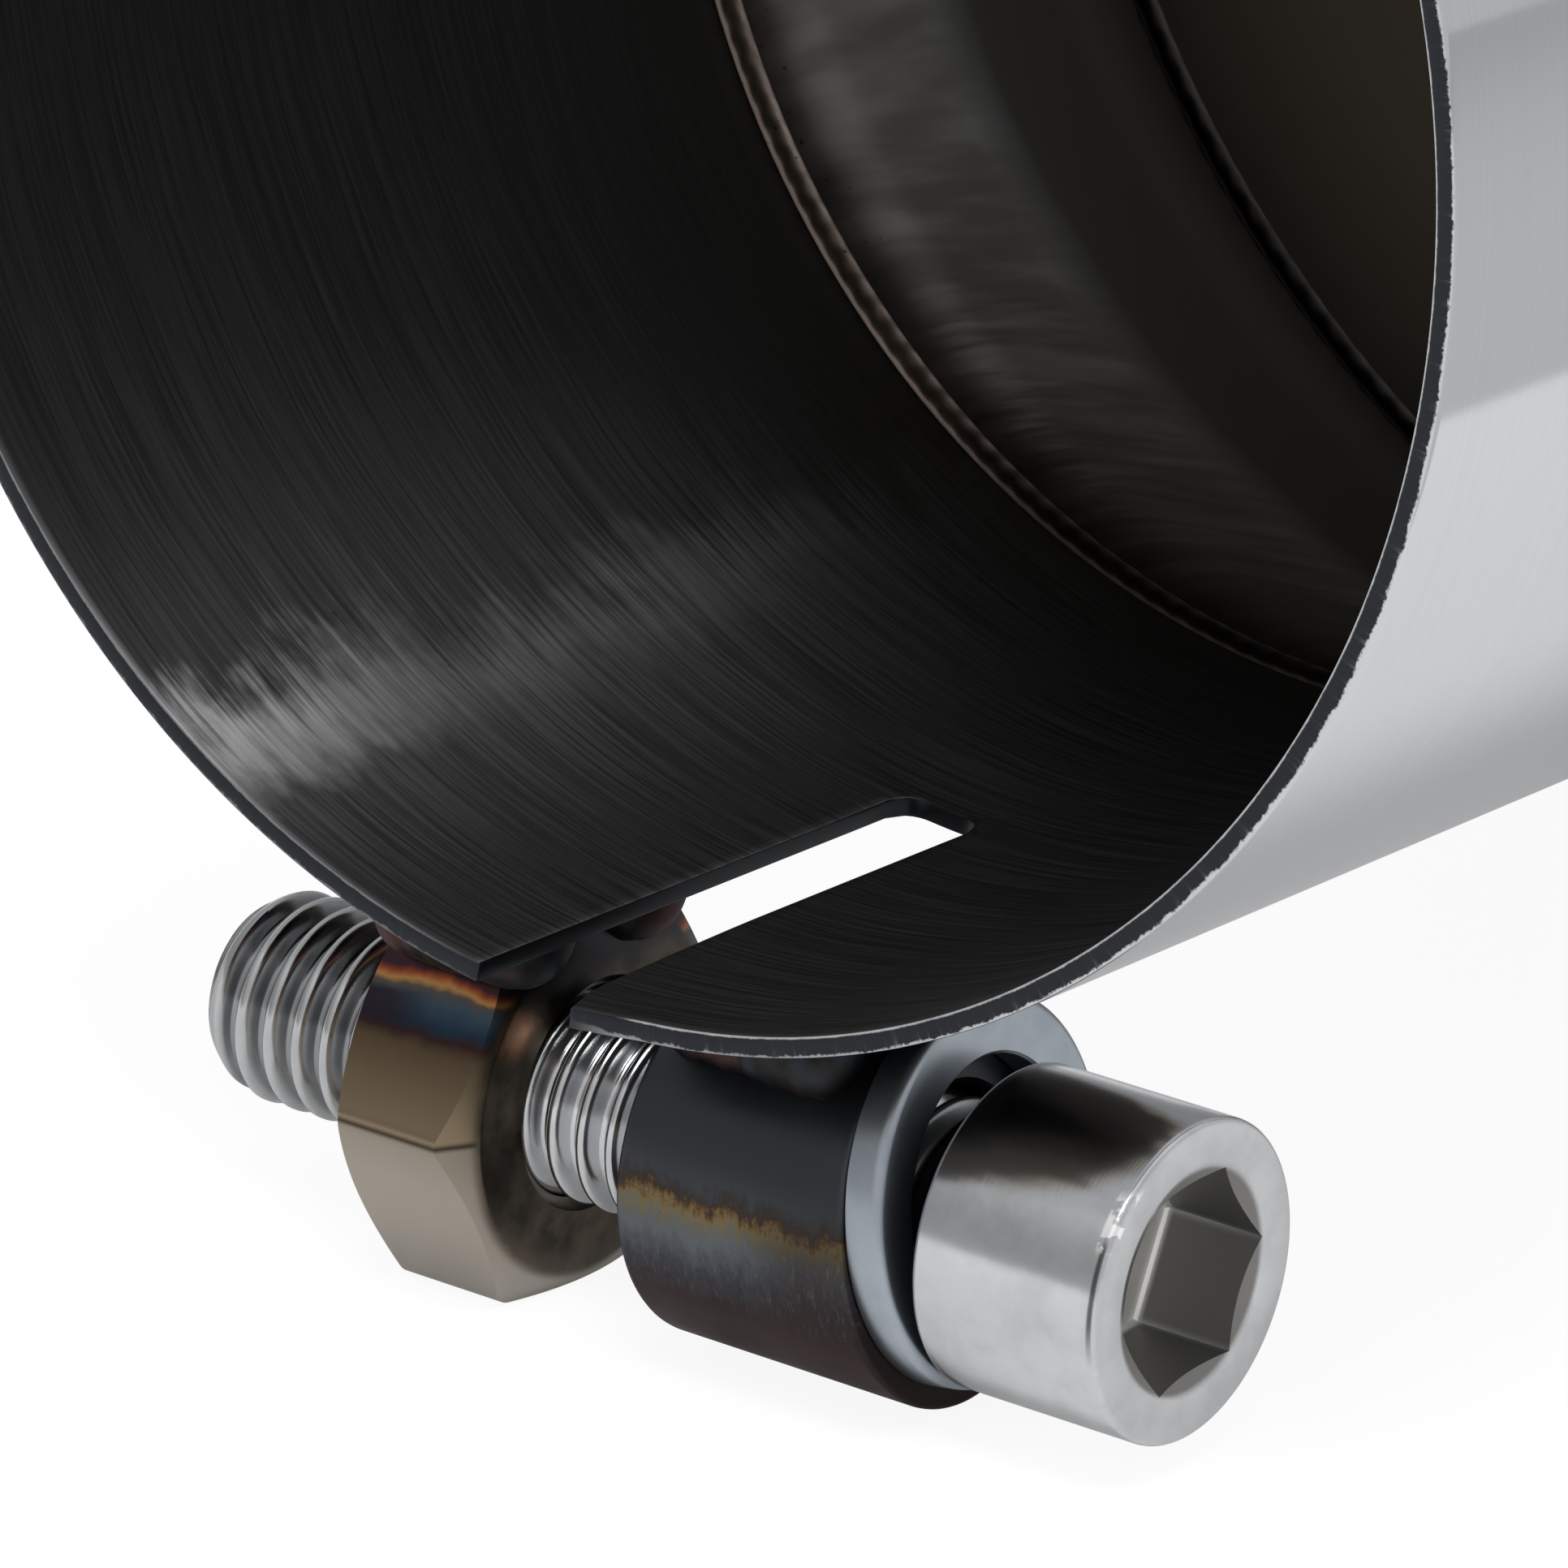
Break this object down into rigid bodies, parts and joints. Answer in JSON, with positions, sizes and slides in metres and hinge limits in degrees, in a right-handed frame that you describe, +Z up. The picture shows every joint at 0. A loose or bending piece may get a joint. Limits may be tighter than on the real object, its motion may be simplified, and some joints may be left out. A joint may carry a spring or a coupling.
{
  "type": "exhaust tip",
  "caption": "Clamp-on exhaust tip: a slotted inlet tube with a welded screw clamp flares into a larger round outlet with a rolled edge.",
  "frame": {"origin": "centre of the inlet tube's rim", "axes": "+Y along the tube's axis from the inlet to the outlet, +Z up with the clamp below the tube, +X towards the screw's head"},
  "size_m": [0.1152, 0.2299, 0.1172],
  "materials": {
    "inlet_steel": "bright outside, dark circumferential grain inside",
    "ring_weld_metal": "copper-tinted weld bead",
    "flare_steel": "satin with marks along the flare",
    "outlet_steel": "polished",
    "sleeve_steel": "blue-black heat scale with straw tint",
    "nut_steel": "heat-tinted bronze to blue",
    "clamp_weld_metal": "dark weld with heat tint",
    "screw_zinc": "bright zinc plate",
    "washer_zinc": "pale blue zinc plate"
  },
  "bodies": {
    "root": {"inlet_tube": "inlet_steel", "inlet_weld": "ring_weld_metal", "transition_cone": "flare_steel", "outlet_weld": "ring_weld_metal", "outlet_shell": "outlet_steel", "clamp_sleeve": "sleeve_steel", "sleeve_weld": "clamp_weld_metal", "clamp_nut": "nut_steel", "nut_weld": "clamp_weld_metal", "clamp_screw": "screw_zinc", "flat_washer": "washer_zinc"}
  },
  "joints": []
}
